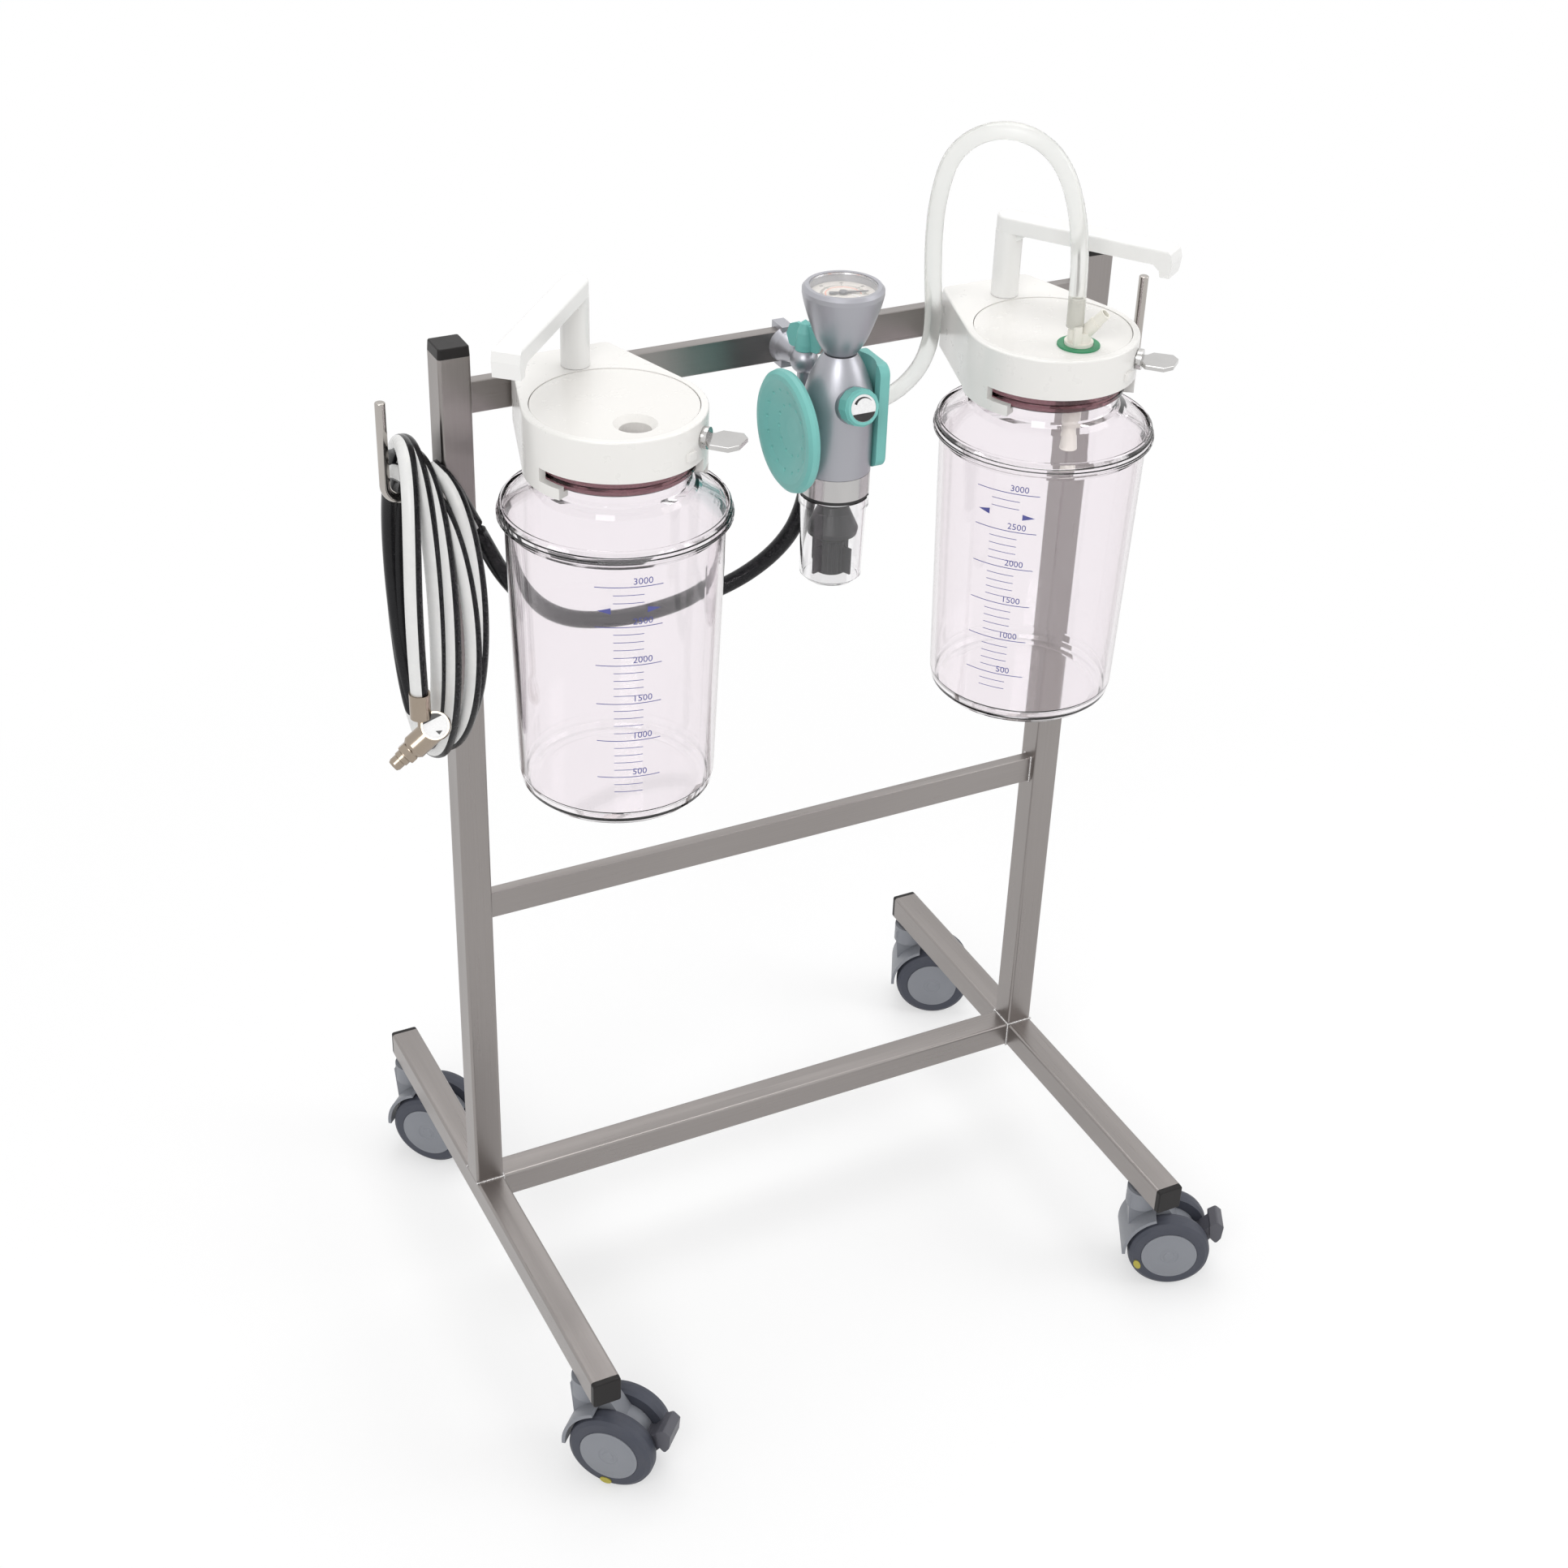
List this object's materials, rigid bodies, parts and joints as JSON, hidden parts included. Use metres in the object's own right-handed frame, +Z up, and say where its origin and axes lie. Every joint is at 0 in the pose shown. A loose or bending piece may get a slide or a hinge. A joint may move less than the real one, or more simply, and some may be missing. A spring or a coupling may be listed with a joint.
{
  "type": "vacuum aspirator",
  "caption": "Wheeled stand with a rail that carries clear collecting jars with swing handles, a vacuum regulator with gauge and bottle, and a coiled hose.",
  "frame": {"origin": "on the floor, in the middle of the stand's footprint", "axes": "+Z up; -Y is the front, where the jars hang and the braked casters are; +X is to the right seen from the front"},
  "size_m": [0.7077, 0.536, 1.0671],
  "materials": {
    "stainless": "brushed satin",
    "bar_steel": "brushed satin",
    "black_cap": "fine matte",
    "hook_rod": "polished",
    "zinc_stem": "zinc plated",
    "caster_grey": "satin",
    "caster_tyre": "matte",
    "pedal_grey": "satin",
    "clear_jar": "clear, tinted at its edges",
    "collar_tint": "clear dark tint",
    "head_white": "semi-gloss",
    "lid_white": "semi-gloss",
    "handle_white": "semi-gloss",
    "lever_chrome": "polished",
    "seal_green": "satin",
    "connector_white": "semi-gloss",
    "regulator_silver": "silver paint",
    "gland_nickel": "nickel plated",
    "gauge_silver": "silver paint",
    "dial_white": "printed",
    "needle_dark": "matte",
    "lens_clear": "clear",
    "wheel_teal": "satin",
    "knob_teal": "satin",
    "cover_teal": "satin",
    "screw_teal": "satin",
    "ring_polished": "polished",
    "seal_black": "matte",
    "clear_bottle": "clear",
    "silencer_black": "moulded",
    "clamp_silver": "silver paint",
    "hose_two_tone": "satin, one side black and one side white",
    "probe_brass": "nickelled",
    "silicone": "translucent"
  },
  "bodies": {
    "trolley": {"left_upright": "stainless", "right_upright": "stainless", "left_foot": "stainless", "right_foot": "stainless", "cross_beam": "stainless", "middle_bar": "bar_steel", "equipment_rail": "bar_steel", "upright_caps": "black_cap", "foot_caps": "black_cap", "left_hook": "hook_rod", "right_hook": "hook_rod", "caster_stems": "zinc_stem", "right_jar": "clear_jar", "right_neck_collar": "collar_tint", "right_jar_head": "head_white", "right_lid": "lid_white", "port_seal": "seal_green", "hose_connector": "connector_white", "regulator_body": "regulator_silver", "hose_glands": "gland_nickel", "gauge_housing": "gauge_silver", "gauge_dial": "dial_white", "gauge_lens": "lens_clear", "side_cover": "cover_teal", "trim_ring": "ring_polished", "bottle_seal": "seal_black", "silencer": "silencer_black", "rail_clamp": "clamp_silver", "hose_lead": "hose_two_tone", "hose_coil": "hose_two_tone", "hose_probe": "probe_brass", "silicone_tube": "silicone"},
    "front_left_swivel": {"front_left_caster_housing": "caster_grey"},
    "front_left_near_wheel": {"front_left_near_wheel": "caster_tyre"},
    "front_left_far_wheel": {"front_left_far_wheel": "caster_tyre"},
    "front_left_brake": {"front_left_brake_pedal": "pedal_grey"},
    "front_right_swivel": {"front_right_caster_housing": "caster_grey"},
    "front_right_near_wheel": {"front_right_near_wheel": "caster_tyre"},
    "front_right_far_wheel": {"front_right_far_wheel": "caster_tyre"},
    "front_right_brake": {"front_right_brake_pedal": "pedal_grey"},
    "rear_left_swivel": {"rear_left_caster_housing": "caster_grey"},
    "rear_left_near_wheel": {"rear_left_near_wheel": "caster_tyre"},
    "rear_left_far_wheel": {"rear_left_far_wheel": "caster_tyre"},
    "rear_right_swivel": {"rear_right_caster_housing": "caster_grey"},
    "rear_right_near_wheel": {"rear_right_near_wheel": "caster_tyre"},
    "rear_right_far_wheel": {"rear_right_far_wheel": "caster_tyre"},
    "left_jar_unit": {"left_jar": "clear_jar", "left_neck_collar": "collar_tint", "left_jar_head": "head_white", "left_lid": "lid_white"},
    "left_handle": {"left_handle": "handle_white"},
    "left_lock_lever": {"left_lock_lever": "lever_chrome"},
    "right_handle": {"right_handle": "handle_white"},
    "right_lock_lever": {"right_lock_lever": "lever_chrome"},
    "hand_wheel": {"hand_wheel": "wheel_teal"},
    "adjust_knob": {"adjust_knob": "knob_teal"},
    "gauge_needle": {"gauge_needle": "needle_dark"},
    "wing_screw": {"clamp_wing_screw": "screw_teal"},
    "silencer_bottle": {"silencer_bottle": "clear_bottle"}
  },
  "joints": [
    {"name": "front_left_swivel_turn", "type": "hinge", "parent": "trolley", "child": "front_left_swivel", "pos_m": [-0.283, -0.205, 0.098], "axis": [0, 0, 1], "continuous": true},
    {"name": "front_left_near_wheel_roll", "type": "hinge", "parent": "front_left_swivel", "child": "front_left_near_wheel", "pos_m": [-0.2632, -0.2248, 0.0375], "axis": [0.7071, 0.7071, 0], "continuous": true},
    {"name": "front_left_far_wheel_roll", "type": "hinge", "parent": "front_left_swivel", "child": "front_left_far_wheel", "pos_m": [-0.2632, -0.2248, 0.0375], "axis": [0.7071, 0.7071, 0], "continuous": true},
    {"name": "front_left_brake_press", "type": "hinge", "parent": "front_left_swivel", "child": "front_left_brake", "pos_m": [-0.24626, -0.24174, 0.04622], "axis": [0.7071, 0.7071, 0], "range_deg": [0, 15]},
    {"name": "front_right_swivel_turn", "type": "hinge", "parent": "trolley", "child": "front_right_swivel", "pos_m": [0.267, -0.205, 0.098], "axis": [0, 0, 1], "continuous": true},
    {"name": "front_right_near_wheel_roll", "type": "hinge", "parent": "front_right_swivel", "child": "front_right_near_wheel", "pos_m": [0.29149, -0.21857, 0.0375], "axis": [0.4848, 0.8746, 0], "continuous": true},
    {"name": "front_right_far_wheel_roll", "type": "hinge", "parent": "front_right_swivel", "child": "front_right_far_wheel", "pos_m": [0.29149, -0.21857, 0.0375], "axis": [0.4848, 0.8746, 0], "continuous": true},
    {"name": "front_right_brake_press", "type": "hinge", "parent": "front_right_swivel", "child": "front_right_brake", "pos_m": [0.31245, -0.23019, 0.04622], "axis": [0.4848, 0.8746, 0], "range_deg": [0, 15]},
    {"name": "rear_left_swivel_turn", "type": "hinge", "parent": "trolley", "child": "rear_left_swivel", "pos_m": [-0.283, 0.239, 0.098], "axis": [0, 0, 1], "continuous": true},
    {"name": "rear_left_near_wheel_roll", "type": "hinge", "parent": "rear_left_swivel", "child": "rear_left_near_wheel", "pos_m": [-0.2632, 0.2192, 0.0375], "axis": [0.7071, 0.7071, 0], "continuous": true},
    {"name": "rear_left_far_wheel_roll", "type": "hinge", "parent": "rear_left_swivel", "child": "rear_left_far_wheel", "pos_m": [-0.2632, 0.2192, 0.0375], "axis": [0.7071, 0.7071, 0], "continuous": true},
    {"name": "rear_right_swivel_turn", "type": "hinge", "parent": "trolley", "child": "rear_right_swivel", "pos_m": [0.267, 0.239, 0.098], "axis": [0, 0, 1], "continuous": true},
    {"name": "rear_right_near_wheel_roll", "type": "hinge", "parent": "rear_right_swivel", "child": "rear_right_near_wheel", "pos_m": [0.29125, 0.225, 0.0375], "axis": [0.5, 0.866, 0], "continuous": true},
    {"name": "rear_right_far_wheel_roll", "type": "hinge", "parent": "rear_right_swivel", "child": "rear_right_far_wheel", "pos_m": [0.29125, 0.225, 0.0375], "axis": [0.5, 0.866, 0], "continuous": true},
    {"name": "left_jar_lift", "type": "slide", "parent": "trolley", "child": "left_jar_unit", "axis": [0, 0, 1], "range_m": [0, 0.05]},
    {"name": "left_handle_swing", "type": "hinge", "parent": "left_jar_unit", "child": "left_handle", "pos_m": [-0.1995, -0.0035, 0.9], "axis": [0, 0, 1], "range_deg": [-45, 135]},
    {"name": "left_lock_turn", "type": "hinge", "parent": "left_jar_unit", "child": "left_lock_lever", "pos_m": [-0.15283, -0.12267, 0.888], "axis": [0.7071, -0.7071, 0], "range_deg": [0, 90]},
    {"name": "right_handle_swing", "type": "hinge", "parent": "trolley", "child": "right_handle", "pos_m": [0.1625, -0.0035, 0.9], "axis": [0, 0, 1], "range_deg": [-22, 100]},
    {"name": "right_lock_turn", "type": "hinge", "parent": "trolley", "child": "right_lock_lever", "pos_m": [0.20917, -0.12267, 0.888], "axis": [0.7071, -0.7071, 0], "range_deg": [0, 90]},
    {"name": "hand_wheel_turn", "type": "hinge", "parent": "trolley", "child": "hand_wheel", "pos_m": [-0.0345, -0.052, 0.8435], "axis": [-1, 0, 0], "range_deg": [0, 270]},
    {"name": "adjust_knob_turn", "type": "hinge", "parent": "trolley", "child": "adjust_knob", "pos_m": [-0.0075, -0.07905, 0.86825], "axis": [0, -0.9659, 0.2588], "range_deg": [0, 270]},
    {"name": "gauge_needle_turn", "type": "hinge", "parent": "trolley", "child": "gauge_needle", "pos_m": [-0.0075, -0.052, 0.945], "axis": [0, 0, 1], "range_deg": [-110, 140]},
    {"name": "wing_screw_turn", "type": "hinge", "parent": "trolley", "child": "wing_screw", "pos_m": [-0.0125, -0.004, 0.884], "axis": [0, 0, 1], "range_deg": [0, 360]},
    {"name": "bottle_pull", "type": "slide", "parent": "trolley", "child": "silencer_bottle", "axis": [0, 0, -1], "range_m": [0, 0.1]}
  ]
}
